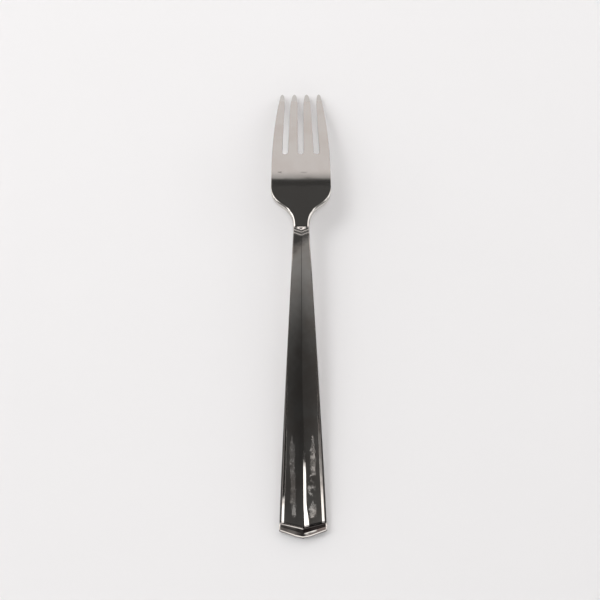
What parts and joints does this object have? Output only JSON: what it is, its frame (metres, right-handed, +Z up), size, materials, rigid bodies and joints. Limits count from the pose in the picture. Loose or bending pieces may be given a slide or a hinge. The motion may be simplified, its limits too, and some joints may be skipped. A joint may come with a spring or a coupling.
{
  "type": "dinner fork",
  "caption": "Polished dinner fork with tapered tines, bevelled shoulders, a chevron-ribbed collar, a faceted tapering hollow handle and a stepped pointed butt.",
  "frame": {"origin": "middle of the fork's length and width, on the surface that it lies on", "axes": "the fork lies face down: +Y to the tine tips, +Z up out of its back, +X to the right with the tines pointing away"},
  "size_m": [0.0256, 0.2, 0.0164],
  "materials": {
    "head_steel": "mirror-polished stainless steel",
    "collar_steel": "mirror-polished stainless steel",
    "handle_steel": "mirror-polished stainless steel with worn, hazy patches",
    "cap_steel": "mirror-polished stainless steel",
    "cement": "matt cement"
  },
  "bodies": {
    "root": {"fork_head": "head_steel", "neck_collar": "collar_steel", "handle_back_shell": "handle_steel", "handle_front_shell": "handle_steel", "handle_filler": "cement", "butt_cap": "cap_steel"}
  },
  "joints": []
}
